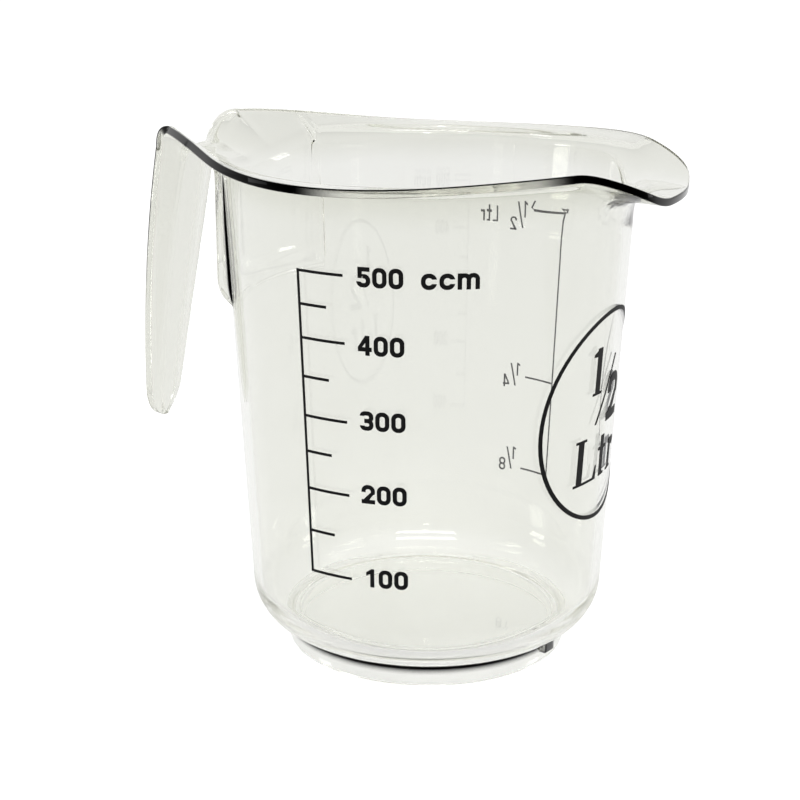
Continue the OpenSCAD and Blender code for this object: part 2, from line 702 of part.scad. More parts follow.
module badge_litre() {
    z = badge_z - badge_h * 0.86;
    half_w = badge_h * 1.15;
    color(black_ink) printed(badge_angle, z, half_w, badge_h * 0.6) translate([0, -badge_h / 2]) {
        translate([-half_w, 0]) serif_l(badge_h * 0.85, badge_h, badge_stroke);
        translate([-badge_h * 0.12, 0]) serif_t(badge_h * 0.9, badge_stroke * 0.9);
        translate([badge_h * 0.42, 0]) serif_r(badge_h * 0.68, badge_stroke * 0.9);
    }
}

foot_ring();
register_lug();
bowl_base();
bowl_wall();
handle_pocket();
rim_near();
rim_far();
pouring_lip();
handle_saddle();
handle_grip();
scale_line();
scale_marks(0, major_angle);  // scale_marks_major
scale_marks(1, minor_angle);  // scale_marks_minor
number(5);  // number_500
number(4);  // number_400
number(3);  // number_300
number(2);  // number_200
number(1);  // number_100
unit_ccm();
back_scale_line();
back_scale_marks();
small_fraction(half_z - fraction_drop, 2);  // back_half
small_fraction(quarter_z, 4);  // back_quarter
small_fraction(eighth_z + fraction_drop, 8);  // back_eighth
back_unit();
badge_ring();
badge_half();
badge_litre();
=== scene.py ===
import math
from collections import namedtuple

import bmesh
import bpy
from mathutils import Matrix, Vector

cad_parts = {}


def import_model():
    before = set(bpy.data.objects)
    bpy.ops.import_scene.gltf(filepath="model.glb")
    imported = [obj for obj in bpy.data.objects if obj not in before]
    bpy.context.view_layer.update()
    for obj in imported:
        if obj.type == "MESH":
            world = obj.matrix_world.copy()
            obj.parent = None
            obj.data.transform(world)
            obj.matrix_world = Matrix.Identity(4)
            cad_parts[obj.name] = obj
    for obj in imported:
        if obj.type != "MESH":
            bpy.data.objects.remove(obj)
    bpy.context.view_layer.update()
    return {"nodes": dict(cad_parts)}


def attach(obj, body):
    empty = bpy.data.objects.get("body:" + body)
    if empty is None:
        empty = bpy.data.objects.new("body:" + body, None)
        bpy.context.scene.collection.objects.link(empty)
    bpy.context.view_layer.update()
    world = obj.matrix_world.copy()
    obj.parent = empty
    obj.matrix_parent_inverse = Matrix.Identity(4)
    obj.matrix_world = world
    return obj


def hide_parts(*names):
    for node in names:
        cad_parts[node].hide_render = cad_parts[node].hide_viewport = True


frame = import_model()

MM = 0.001

# ---------------------------------------------------------------------------
# Sizes of the jug, in millimetres and degrees, as in the part's source.
# Angles go round the bowl from the spout's line, and the handle is at 180.
# ---------------------------------------------------------------------------
wall_top_z = 104.0
wall_top_r = 47.1
wall_draft = 3.0
wall_t = 2.0
floor_t = 3.0
corner_r = 11.5

foot_h = 4.8
foot_inset = 8.1
foot_flare = 1.2
foot_t = 2.2
lug_out = 1.5
lug_drop = 1.2
lug_w = 3.5
lug_middle = -16.2

rim_r = 53.4
rim_side_out = 1.4
rim_side = 95.0
rim_z = 118.7
rim_corner_z = 118.2
rim_t = 1.8
rim_fillet = 3.0
lip_reach = 59.4
lip_z = 113.2
lip_throat_z = 114.2
lip_fillet = 8.5
shoulder_rise = 1.9
lip_flat = 16.0
lip_dip = 7.0
lip_end = 35.0
lip_split = 43.0
# The most of the room above the wall that a fillet takes
fillet_limit = 0.9

saddle_x = 57.6
saddle_tangent = 135.0
saddle_rise = 5.1
saddle_z = 117.5
saddle_root_z = 113.5
saddle_rise_power = 2.2
saddle_level_power = 1.7

gutter_flat = 0.3
grip_corner_x = 62.5
grip_crest_z = 118.4
grip_tip_x = 73.3
grip_tip_z = 47.8
grip_belly = 1.8
grip_gutter = 2.2
grip_top_half_w = 14.3
grip_half_w = 13.7
grip_end_half_w = 6.5
grip_fillet = 5.5
grip_t = 1.8
grip_round_share = 0.89
grip_tip_share = 0.2

pocket_r = 49.4
pocket_half = 33.6
pocket_bottom_z = 83.0
pocket_round = 7.5

# ---------------------------------------------------------------------------
# Sizes that only this mesh has
# ---------------------------------------------------------------------------
# The ink is bedded this far into the wall
ink_bed = 0.05
# Rounding of the edges, and the flat row below the upper one that carries a painted shade line
edge_round = 0.3
edge_line = 0.12
# Middle and half width, in degrees from the handle's line, of the rounded
# steps by which the inner and the outer face turn into the pocket
inner_step = (31.2, 0.75)
outer_step = (32.9, 0.7)
# Size of the rounding where pocket and wall meet in a section
pocket_blend = 0.8
# Half the angle over which a side of the lug rises, its bevel, the rounding beside
# the bevel, and how far outside its face it meets the bowl
lug_turn = 0.12
lug_bevel = 0.25
lug_round = 0.2
lug_root = 0.15
# The bowl's corner has no rings nearer than this to the lug
lug_clear = 0.3
# Distances from the line where foot and corner meet: outward along the corner
# above 0, and down the foot's flank below 0
joint_steps = (0.3, 0.14, 0.04, -0.04, -0.34, -0.64)
# Roundings of the foot ring's lower edges and of its inner upper edge, how far the
# first stands outside the flank's foot, and a height on the flank
foot_round = 0.5
foot_inner_round = 0.3
foot_round_out = 0.03
flank_z = 3.2
quarter_angles = (0, 22, 45, 67, 90)
# Share of the rounding by which its middle is drawn in
round_middle = 0.3

# Rings and steps of the mesh
edge_steps = 4
arc_steps = 18
root_rings = 4
fillet_rings = 10
flat_rings = 8
# Over this many rings above the wall the lower face comes back to the sheet's thickness
fade_rings = 6
floor_shares = (0.08, 0.2, 0.35, 0.5, 0.65, 0.8, 0.92)
# Heights of the wall's rings, close together where the pocket closes
wall_rings = (
    [20 + 4.5 * i for i in range(14)]
    + [81.5 + 0.5 * i for i in range(1, 22)]
    + [92.0 + 2.4 * i for i in range(1, 5)]
)
# Steps of the grip's path: round its crest, and down the blade
bend_steps = 12
blade_steps = 54
# Columns over half the grip, and the turn from column to column beside it and round the rim
grip_columns = 20
saddle_turn = 1.2
rim_turn = 1.25
# Degrees from the handle's line: where the saddle's even columns end, those at the
# pocket's corner, and where the rim's even columns start
saddle_columns_end = 28.6
pocket_columns = [29.6, 30.2] + [30.45 + 0.15 * i for i in range(22)] + [33.9, 34.4]
rim_columns_start = 35.4
# Columns nearer to each other than this are one
least_turn = 0.05
tiny = 1e-6

# ---------------------------------------------------------------------------
# Painted shade: dark lines put on the edges, in the pocket's corner, above the foot ring and on
# the lug, in degrees unless a height is said. Each pair is where a line starts to fade and where
# it has gone, or the other way round.
# ---------------------------------------------------------------------------
# How dark the painted shade lines are on the side of the back scale
far_shade = 0.25
# The painted shade on the lip's edge pales past the spout's line, and the far rim has its share
# from here
lip_fade = (5, 16)
far_rise = (30, 80)
# The painted shade on the rim's edge pales between the lip and the handle
rim_fade = (36, 54)
rim_rise = (82, 100)
# The painted shade line in the pocket's corner, from the handle's line, and its two ends' heights
pocket_line_rise = (33.0, 33.1)
pocket_line_fade = (33.5, 33.7)
pocket_line_low = (pocket_bottom_z - 1, pocket_bottom_z + 3)
pocket_line_high = (114, 117)
# The painted shade line above the foot ring: its middle, its fading to each side, what is left of
# it all round, and its half height and half width in mm
foot_line_middle = -72
foot_line_fade = (62, 92)
foot_line_least = 0.12
foot_line_size = (0.7, 0.35)
# The lug is painted dark with shade out from the joint of the foot, and up to this far above it,
# in mm
lug_shade_in = 0.3
lug_shade_up = 1.5
# Steps of the grip's path over which the painted shade line on its edge and the painted shade on
# its whole edge fade
grip_line_fade = (bend_steps + 8, bend_steps + 32)
grip_edge_fade = (4, 9)


def cosd(a):
    return math.cos(math.radians(a))


def sind(a):
    return math.sin(math.radians(a))


def tand(a):
    return math.tan(math.radians(a))


def mix(a, b, s):
    return a + (b - a) * s


def mix2(a, b, s):
    return (mix(a[0], b[0], s), mix(a[1], b[1], s))


def ease(x, a, b):
    """0 up to a, 1 from b on, and smooth between."""
    t = max(0.0, min(1.0, (x - a) / (b - a)))
    return (1 - math.cos(math.pi * t)) / 2


def unit(v):
    n = math.hypot(v[0], v[1])
    return (v[0] / n, v[1] / n)


def add(a, b, s=1.0):
    return (a[0] + b[0] * s, a[1] + b[1] * s)


def bezier(a, b, c, s):
    return tuple((1 - s) ** 2 * p + 2 * s * (1 - s) * q + s * s * r for p, q, r in zip(a, b, c))


def polar(r, a, z):
    return (r * cosd(a), r * sind(a), z)


def apart(a, b):
    """The angle between two directions, from 0 to 180."""
    return abs((a - b + 180) % 360 - 180)


# ---------------------------------------------------------------------------
# Sections of the body at one angle a, from 0 at the spout to 180 at the handle,
# as points of (radius, height)
# ---------------------------------------------------------------------------
wall_slope = tand(wall_draft)
saddle_half_w = rim_r / cosd(45) - saddle_x
saddle_corner = 180 - math.degrees(math.atan(saddle_half_w / saddle_x))


def opened(a):
    """Whether the sheet runs on into the grip here instead of ending in an edge."""
    return a > saddle_corner + tiny


def wall_r(z):
    return wall_top_r + (z - wall_top_z) * wall_slope


def in_pocket(a, step):
    return 1 - ease(180 - a, step[0] - step[1], step[0] + step[1])


def side_share(a):
    return 1 - ease(abs(a - rim_side), 0, saddle_tangent - rim_side)


def edge_r(a):
    if a > saddle_corner:
        return saddle_x / cosd(180 - a)
    if a > saddle_tangent:
        return rim_r / cosd(a - saddle_tangent)
    return mix(lip_reach, rim_r + rim_side_out * side_share(a), ease(a, lip_flat, lip_end))


def gutter(u):
    return ease(abs(u), gutter_flat, 1)


def edge_z(a):
    if a > saddle_corner:
        t = tand(180 - a) * saddle_x / saddle_half_w
        return mix(saddle_z, rim_z + saddle_rise, gutter(t))
    shoulder = rim_z + shoulder_rise * ease(rim_side - a, 0, rim_side - lip_end)
    rise = 0.0
    if a > rim_side:
        t = min(1, (a - rim_side) / (saddle_corner - rim_side))
        rise = saddle_rise * (1 - (1 - t**saddle_rise_power) ** saddle_level_power)
    return mix(lip_z, shoulder, ease(a, lip_dip, lip_end)) + rise


def corner_z(a):
    if a > 180 - pocket_half:
        return mix(saddle_root_z, rim_corner_z, ((180 - a) / pocket_half) ** 2)
    return mix(lip_throat_z, rim_corner_z, ease(a, lip_flat, lip_split))


def fillet(a):
    f = mix(lip_fillet, rim_fillet, ease(a, lip_flat, lip_split))
    return min(f, (corner_z(a) - wall_top_z) * fillet_limit)


def pocket_out(z, inset):
    """Radius of the pocket's back at height z, or 0 below it."""
    r = pocket_round - inset
    low = pocket_bottom_z + inset
    if z >= low + r:
        return pocket_r - inset
    if z <= low:
        return 0.0
    return pocket_r - inset - r + math.sqrt(r * r - (low + r - z) ** 2)


def soft_max(a, b, k):
    h = max(0.0, k - abs(a - b)) / k
    return max(a, b) + h * h * k / 4


def inner_r(a, z):
    w = wall_r(z) - wall_t
    return mix(w, soft_max(w, pocket_out(z, wall_t), pocket_blend), in_pocket(a, inner_step))


def outer_r(a, z):
    w = wall_r(z) + ink_bed
    return mix(w, soft_max(w, pocket_out(z, 0), pocket_blend), in_pocket(a, outer_step))


def vessel_corner(z_floor, inset, r):
    """The arc between floor and wall, from the floor upward."""
    zc = z_floor + r
    rc = wall_r(zc) - inset - r / cosd(wall_draft)
    turns = [(90 - wall_draft) * i / arc_steps for i in range(arc_steps + 1)]
    return [(rc + r * sind(t), zc - r * cosd(t)) for t in turns]


inner_corner = vessel_corner(foot_h + floor_t, wall_t, corner_r - wall_t)
outer_corner = vessel_corner(foot_h, -ink_bed, corner_r)
foot_low_r = wall_r(foot_h) - foot_inset
foot_inner_r = foot_low_r - foot_t
foot_slope = foot_flare / foot_h
lug_face_r = foot_low_r + foot_flare + lug_out


def foot_r(z):
    return foot_low_r + z * foot_slope


def outer_corner_z(r):
    rc, zc = outer_corner[0][0], foot_h + corner_r
    return zc - math.sqrt(max(0.0, corner_r**2 - (r - rc) ** 2))


def junction():
    """Where the foot's flank meets the corner's arc."""
    z = foot_h
    for _ in range(40):
        z = outer_corner_z(foot_r(z))
    return (foot_r(z), z)


foot_joint = junction()
lug_half = math.degrees(lug_w / 2 / (foot_joint[0] + lug_out))


def lug_share(a):
    """1 on the register lug and 0 beside it, at an angle round the whole bowl."""
    return 1 - ease(apart(a, lug_middle), lug_half - lug_turn, lug_half + lug_turn)


def rim_faces(a):
    """Upper and lower face of the flaring sheet, from the wall outward, and the
    direction in which it ends."""
    root = (inner_r(a, wall_top_z), wall_top_z)
    slope = wall_slope * (1 - in_pocket(a, inner_step))
    cz = corner_z(a)
    corner = (root[0] + (cz - wall_top_z) * slope, cz)
    edge = (edge_r(a), edge_z(a))
    start = add(corner, unit(add(corner, root, -1)), -fillet(a))
    end = add(corner, unit(add(edge, corner, -1)), fillet(a))
    path = [mix2(root, start, i / root_rings) for i in range(root_rings)]
    path += [bezier(start, corner, end, i / fillet_rings) for i in range(fillet_rings + 1)]
    path += [mix2(end, edge, i / flat_rings) for i in range(1, flat_rings + 1)]
    n = len(path) - 1
    along = [unit(add(path[min(k + 1, n)], path[max(k - 1, 0)], -1)) for k in range(n + 1)]
    if a >= saddle_corner:
        along[n] = (1.0, 0.0)
    out_root = outer_r(a, wall_top_z) - root[0]
    lower = []
    for k, (p, d) in enumerate(zip(path, along)):
        t = mix(wall_t, rim_t, k / n)
        more = (out_root - wall_t) * max(0.0, 1 - k / fade_rings)
        lower.append((p[0] + d[1] * t + more, p[1] - d[0] * t))
    lower[0] = (root[0] + out_root, wall_top_z)
    return path, lower, along[n]


def edge_profile(out, thickness):
    """A rounded edge between two faces, as points of (depth below the upper face,
    distance outward), without its first and its last point."""
    r = edge_round
    turns = [90 * i / edge_steps for i in range(edge_steps + 1)]
    upper = [(r * (1 - cosd(t)), out * sind(t)) for t in turns[1:]]
    lower = [(thickness - r * (1 - sind(t)), out * cosd(t)) for t in turns[:-1]]
    return upper + [(r + edge_line, out)] + lower


def edge_arc(upper, lower, out, stretch):
    """The rim's rounded edge between the ends of the upper and the lower face: (upper
    end drawn back, points between, lower end drawn back)."""
    reach = edge_round * stretch
    thickness = math.hypot(upper[0] - lower[0], upper[1] - lower[1])
    down = unit(add(lower, upper, -1))
    first = add(upper, out, -reach)
    between = [add(add(first, down, depth), out, distance)
               for depth, distance in edge_profile(reach, thickness)]
    return first, between, add(lower, out, -reach)


def foot_section(a):
    """The outside from the corner's arc down round the foot ring to the floor's
    underside, at an angle round the whole bowl."""
    lug_z = foot_h - lug_drop
    root_z = outer_corner_z(lug_face_r + lug_root)
    lug = [(lug_face_r + lug_root, root_z), (lug_face_r, root_z - lug_round),
           (lug_face_r, lug_z + lug_bevel), (lug_face_r - lug_bevel, lug_z),
           (foot_r(lug_z) + lug_round, lug_z), (foot_r(lug_z - lug_bevel), lug_z - lug_bevel)]
    plain = []
    for step in joint_steps:
        r, z = foot_joint[0] + step, foot_joint[1] + step
        plain.append((r, outer_corner_z(r)) if step > 0 else (foot_r(z), z))
    points = [mix2(p, q, lug_share(a)) for p, q in zip(plain, lug)]
    points += [(foot_r(z), z) for z in (flank_z, flank_z / 2)]
    r, f, g = foot_round, foot_low_r, foot_inner_r
    points += [(f - r + r * cosd(t) + foot_round_out, r - r * sind(t)) for t in quarter_angles]
    points += [(g + r - r * sind(t), r - r * cosd(t)) for t in quarter_angles]
    points += [(g, foot_h * 0.4), (g, foot_h * 0.75)]
    r = foot_inner_round
    s = r * round_middle
    return points + [(g, foot_h - r), (g - s, foot_h - s), (g - r, foot_h)]


def section(a_full):
    """The closed section at an angle round the whole bowl: the inside with the rim's
    upper face, the edge, and the rim's lower face with the outside. Where the sheet
    runs on into the grip there is no edge."""
    a = apart(a_full, 0)
    inside = [(inner_corner[0][0] * s, foot_h + floor_t) for s in floor_shares]
    inside += inner_corner
    inside += [(inner_r(a, z), z) for z in wall_rings]
    upper, lower, last = rim_faces(a)
    edge = []
    if not opened(a):
        stretch = 1 / cosd(a - saddle_tangent) if a > saddle_tangent else 1.0
        upper[-1], edge, lower[-1] = edge_arc(upper[-1], lower[-1], last, stretch)
    outside = lower[::-1]
    outside += [(outer_r(a, z), z) for z in wall_rings[::-1]]
    outside += [p for p in outer_corner[::-1] if p[0] > lug_face_r + lug_clear]
    outside += foot_section(a_full)
    outside += [(foot_inner_r * s, foot_h) for s in floor_shares[::-1]]
    return inside + upper, edge, outside


def column_angles():
    """Angles of the sections round the bowl, in one turn from the spout's line."""
    half = [saddle_corner + (180 - saddle_corner) * i / grip_columns
            for i in range(grip_columns + 1)]
    off = 180 - saddle_corner
    while off < saddle_columns_end:
        off += saddle_turn
        half.append(180 - off)
    half += [180 - off for off in pocket_columns]
    a = 180 - rim_columns_start
    while a > 0.5:
        half.append(a)
        a -= rim_turn
    half = sorted(set(round(h, 4) for h in half))
    half = [h for i, h in enumerate(half) if i == 0 or h - half[i - 1] > least_turn]
    both = [0.0] + half + [360 - h for h in half if h < 179.999]
    for side in (-1, 1):
        for share in (-1, -0.5, 0, 0.5, 1):
            both.append(360 + lug_middle + side * (lug_half + lug_turn * share))
    return sorted(set(round(b, 4) for b in both))


# ---------------------------------------------------------------------------
# Painted shade on the edges, from 0 to 1
# ---------------------------------------------------------------------------
def near_share(a):
    """The painted shade is full on the side of the front scale, less on the back scale's side,
    none on the far half of the lip."""
    signed = (a + 180) % 360 - 180
    if signed < -90:
        return 1.0
    if signed > 90:
        return far_shade
    return mix(1.0, mix(0, far_shade, ease(signed, *far_rise)), ease(signed, *lip_fade))


def rim_shade(a, in_line):
    """Painted shade on the rim's edge: dark near lip and handle, and on its upper line dark all
    along.
    """
    off = apart(a, 0)
    band = max(1 - ease(off, *rim_fade), ease(off, *rim_rise))
    return near_share(a) * max(band, 1.0 if in_line else 0)


def outside_shade(a, r, z):
    """Painted shade: the lines in the pocket's corner and above the foot ring, and the lug."""
    dark = 0.0
    if z > pocket_line_low[0]:
        off = 180 - apart(a, 0)
        line = ease(off, *pocket_line_rise) * (1 - ease(off, *pocket_line_fade))
        ends = ease(z, *pocket_line_low) * (1 - ease(z, *pocket_line_high))
        dark = near_share(a) * line * ends
    joint_r, joint_z = foot_joint
    half_h, half_w = foot_line_size
    if abs(z - joint_z) < half_h and abs(r - joint_r) < half_w:
        dark = mix(foot_line_least, 1.0, 1 - ease(apart(a, foot_line_middle), *foot_line_fade))
    if r > joint_r - lug_shade_in and z < joint_z + lug_shade_up:
        dark = max(dark, lug_share(a))
    return dark


# ---------------------------------------------------------------------------
# The mesh: vertices in millimetres, faces, and how dark a vertex is painted with shade, if it is
# ---------------------------------------------------------------------------
verts, faces, shade = [], [], {}
Column = namedtuple("Column", "angle inside edge outside")


def new_vert(point, dark=0.0):
    verts.append(point)
    if dark > 0:
        shade[len(verts) - 1] = dark
    return len(verts) - 1


def join(a, b, flip=False):
    """Faces between two rows of vertices of one length."""
    for i in range(len(a) - 1):
        face = (a[i], b[i], b[i + 1], a[i + 1])
        faces.append(face[::-1] if flip else face)


def new_column(a):
    inside, edge, outside = section(a)
    return Column(
        a,
        [new_vert(polar(r, a, z)) for r, z in inside],
        # the rim's edge and the outside carry painted shade
        [new_vert(polar(r, a, z), rim_shade(a, k < edge_steps)) for k, (r, z) in enumerate(edge)],
        [new_vert(polar(r, a, z), outside_shade(a, r, z)) for r, z in outside],
    )


def is_open(column):
    return opened(apart(column.angle, 0))


def round_the_edge(column):
    return [column.inside[-1]] + column.edge + [column.outside[0]]


def build_body():
    """The bowl with rim, lip and saddle, left open where the grip starts."""
    columns = [new_column(a) for a in column_angles()]
    top_pole = new_vert((0, 0, foot_h + floor_t))
    low_pole = new_vert((0, 0, foot_h))
    for c, d in zip(columns, columns[1:] + columns[:1]):
        join(c.inside, d.inside)
        if not (is_open(c) or is_open(d)):
            join(round_the_edge(c), round_the_edge(d))
        join(c.outside, d.outside)
        faces.append((top_pole, d.inside[0], c.inside[0]))
        faces.append((low_pole, c.outside[-1], d.outside[-1]))
    return columns


def grip_path(start, corner, tip):
    """A line of the grip from the saddle round the crest to the tip, as (x, z)."""
    belly = ((corner[0] + tip[0]) / 2 + grip_belly, (corner[1] + tip[1]) / 2)
    reach = math.hypot(start[0] - corner[0], start[1] - corner[1])
    a = add(corner, unit(add(start, corner, -1)), min(grip_fillet, reach * fillet_limit))
    b = add(corner, unit(add(belly, corner, -1)), grip_fillet)
    bend = [bezier(a, corner, b, i / bend_steps) for i in range(bend_steps + 1)]
    blade = [bezier(b, belly, tip, sind(90 * i / blade_steps)) for i in range(1, blade_steps + 1)]
    return [start] + bend + blade


grip_middle = grip_path((saddle_x, saddle_z), (grip_corner_x - grip_gutter / 2, grip_crest_z),
                        (grip_tip_x - grip_gutter / 4, grip_tip_z))
grip_edge = grip_path((saddle_x, rim_z + saddle_rise), (grip_corner_x, rim_z + saddle_rise),
                      (grip_tip_x, grip_tip_z))
grip_last = len(grip_edge) - 1


def grip_half_width(k):
    if k < bend_steps + 1:
        return mix(saddle_half_w, grip_top_half_w, k / (bend_steps + 1))
    s = sind(90 * (k - bend_steps - 1) / blade_steps)
    end_s = max(0.0, (s - grip_round_share) / (1 - grip_round_share))
    w = (1 - s) ** 2 * grip_top_half_w + 2 * s * (1 - s) * grip_half_w + s * s * grip_end_half_w
    return w * max(grip_tip_share, math.sqrt(max(0.0, 1 - end_s * end_s)))


def grip_directions(k):
    """Down through the sheet, and along the path, at step k."""
    a, b = max(k - 1, 0), min(k + 1, grip_last)
    d = unit((grip_edge[b][0] - grip_edge[a][0] + grip_middle[b][0] - grip_middle[a][0],
              grip_edge[b][1] - grip_edge[a][1] + grip_middle[b][1] - grip_middle[a][1]))
    return (d[1], -d[0]), d


def grip_point(k, u, depth=0.0, onward=0.0):
    """A point of the grip at step k and place u across, from -1 to 1, before the edge's
    rounding, at a depth below the outer face and a distance onward."""
    through, along = grip_directions(k)
    w = grip_half_width(k)
    u *= (w - edge_round) / w
    p = mix2(grip_middle[k], grip_edge[k], gutter(u))
    if k == grip_last:
        p = add(p, along, -edge_round)
    p = add(add(p, through, depth), along, onward)
    return (-p[0], -u * w, p[1])


def grip_side(k, u):
    """The rounded edge at one side of step k, with its painted shade."""
    near = u > 0
    # painted shade: a line along the edge's outer corner that fades down the blade, and the whole
    # edge near the saddle
    line = 1 - ease(k, *grip_line_fade)
    whole = 1 - ease(k, *grip_edge_fade)
    # at the tip the side turns into the end
    onward = 0.7 if k == grip_last else 0.0
    ids = []
    for i, (depth, out) in enumerate(edge_profile(edge_round, grip_t)):
        x, y, z = grip_point(k, u, depth, onward * out)
        dark = (1 if near else far_shade) * (line if i < edge_steps else whole)
        ids.append(new_vert((x, y - out if near else y + out, z), dark))
    return ids


def build_grip(columns):
    """The grip carries on from the columns at the saddle's end, with a row for each
    step of its path and a place across it for each of those columns."""
    open_at = [i for i, c in enumerate(columns) if is_open(c)]
    start = columns[open_at[0] - 1 : open_at[-1] + 2]
    us = [-saddle_x * tand(180 - c.angle) / saddle_half_w for c in start]
    outer_rows = [[c.inside[-1] for c in start]]
    inner_rows = [[c.outside[0] for c in start]]
    far_rows, near_rows = [start[0].edge], [start[-1].edge]
    for k in range(1, grip_last + 1):
        pairs = [(new_vert(grip_point(k, u)), new_vert(grip_point(k, u, grip_t))) for u in us]
        outer_rows.append([p[0] for p in pairs])
        inner_rows.append([p[1] for p in pairs])
        far_rows.append(grip_side(k, us[0]))
        near_rows.append(grip_side(k, us[-1]))
    for k in range(grip_last):
        (a, b), (c, d) = outer_rows[k : k + 2], inner_rows[k : k + 2]
        for j in range(len(us) - 1):
            faces.append((a[j], a[j + 1], b[j + 1], b[j]))
            faces.append((c[j + 1], c[j], d[j], d[j + 1]))
        join([a[0]] + far_rows[k] + [c[0]], [b[0]] + far_rows[k + 1] + [d[0]])
        join([a[-1]] + near_rows[k] + [c[-1]], [b[-1]] + near_rows[k + 1] + [d[-1]], flip=True)
    # the rounded end of the tip
    ends = [far_rows[-1]]
    ends += [[new_vert(grip_point(grip_last, u, depth, out))
              for depth, out in edge_profile(edge_round, grip_t)] for u in us[1:-1]]
    ends += [near_rows[-1]]
    rows = [[a] + end + [c] for a, end, c in zip(outer_rows[-1], ends, inner_rows[-1])]
    for a, b in zip(rows, rows[1:]):
        join(a, b, flip=True)


def make_object(name):
    mesh = bpy.data.meshes.new(name)
    mesh.from_pydata([Vector(v) * MM for v in verts], [], faces)
    bm = bmesh.new()
    bm.from_mesh(mesh)
    bmesh.ops.recalc_face_normals(bm, faces=bm.faces)
    if bm.calc_volume(signed=True) < 0:
        bmesh.ops.reverse_faces(bm, faces=bm.faces)
    for f in bm.faces:
        f.smooth = True
    bm.to_mesh(mesh)
    bm.free()
    # painted shade on the edges, read by the plastic's material
    layer = mesh.attributes.new("edge_shade", "FLOAT", "POINT")
    for i, value in shade.items():
        layer.data[i].value = value
    obj = bpy.data.objects.new(name, mesh)
    bpy.context.scene.collection.objects.link(obj)
    return obj


# ---------------------------------------------------------------------------
# Materials. Places in them are in metres.
# ---------------------------------------------------------------------------
plastic_ior = 1.54
wall_tint = (0.907, 0.911, 0.879, 1)
# Tint of the single sheet above the wall and down the handle, which looks as full
# as two walls, and where it sets in
sheet_tint = (0.8, 0.805, 0.745, 1)
sheet_z = (0.108, 0.117)
sheet_x = (-0.0535, -0.0575)
# Painted light: the floor and the foot ring are tinted clearer than the walls, to brighten the
# bottom against the shade that falls under the jug
foot_tint = (0.955, 0.958, 0.94, 1)
foot_tint_z = (0.013, 0.008)
cloud_scale = 60
cloud_share = 0.08
wave_scale = 110
wave_strength = 0.01
wave_height = 0.0003
shadow_tint = (0.985, 0.985, 0.98, 1)
absorb_tint = (0.5, 0.5, 0.35, 1)
absorb_density = 3.5

ink_grain = 900
ink_dark = (0.001, 0.001, 0.0012, 1)
ink_pale = (0.005, 0.005, 0.0055, 1)
ink_specular = 0.1


class Graph:
    """Makes a material's or a world's nodes and joins them."""

    def __init__(self, owner):
        owner.use_nodes = True
        self.nodes, self.links = owner.node_tree.nodes, owner.node_tree.links
        self.nodes.clear()

    def add(self, kind, inputs=None, **settings):
        """A node with its settings, and for each input a value or another's output."""
        node = self.nodes.new("ShaderNode" + kind)
        for key, value in settings.items():
            setattr(node, key, value)
        for key, value in (inputs or {}).items():
            if isinstance(value, bpy.types.NodeSocket):
                self.links.new(value, node.inputs[key])
            else:
                node.inputs[key].default_value = value
        return node

    def math(self, operation, a, b, clamp=False):
        return self.add("Math", {0: a, 1: b}, operation=operation, use_clamp=clamp).outputs[0]

    def spread(self, value, low, high, to=(0, 1), **settings):
        ends = {"From Min": low, "From Max": high, "To Min": to[0], "To Max": to[1]}
        return self.add("MapRange", {"Value": value, **ends}, **settings).outputs[0]

    def blend(self, share, a, b, kind="RGBA"):
        return self.add("Mix", {"Factor": share, "A": a, "B": b}, data_type=kind).outputs["Result"]


def clear_plastic():
    material = bpy.data.materials.new("clear_plastic")
    g = Graph(material)
    where = g.add("TexCoord").outputs["Object"]
    place = g.add("SeparateXYZ", {0: where})
    up = g.spread(place.outputs["Z"], *sheet_z, interpolation_type="SMOOTHSTEP")
    back = g.spread(place.outputs["X"], *sheet_x, interpolation_type="SMOOTHSTEP")
    # faint clouding of the moulded plastic
    noise = g.add("TexNoise", {"Scale": cloud_scale, "Detail": 3, "Vector": where})
    cloud = g.spread(noise.outputs["Fac"], 0.3, 0.7, to=(-cloud_share, cloud_share))
    fullness = g.math("ADD", g.math("MAXIMUM", up, back), cloud, clamp=True)
    tint = g.blend(fullness, wall_tint, sheet_tint)
    # painted light: a clearer tint low down brightens the floor and the foot ring
    tint = g.blend(g.spread(place.outputs["Z"], *foot_tint_z), tint, foot_tint)
    # painted shade: the dark lines, drawn as black metal and only from outside; the sheet stays
    # clear for light inside it
    edge = g.add("Attribute", attribute_name="edge_shade")
    side = g.add("NewGeometry")
    dark = g.math("SUBTRACT", edge.outputs["Fac"], side.outputs["Backfacing"], clamp=True)
    # very slight waviness, as a moulded face has
    wave = g.add("TexNoise", {"Scale": wave_scale, "Detail": 1, "Vector": where})
    bump = g.add("Bump", {"Strength": wave_strength, "Distance": wave_height,
                          "Height": wave.outputs["Fac"]})
    surface = g.add("BsdfPrincipled", {
        "Base Color": g.blend(dark, tint, (0, 0, 0, 1)),
        "Metallic": dark,
        "Roughness": 0.0,
        "IOR": plastic_ior,
        "Transmission Weight": 1.0,
        "Normal": bump.outputs["Normal"],
    })
    # lamps reach what is behind the clear plastic
    path = g.add("LightPath")
    through = g.add("BsdfTransparent", {"Color": shadow_tint})
    either = g.add("MixShader", {0: path.outputs["Is Shadow Ray"], 1: surface.outputs[0],
                                 2: through.outputs[0]})
    # a long way through the plastic, as along a wall, is darker
    volume = g.add("VolumeAbsorption", {"Color": absorb_tint, "Density": absorb_density})
    g.add("OutputMaterial", {"Surface": either.outputs[0], "Volume": volume.outputs[0]})
    return material


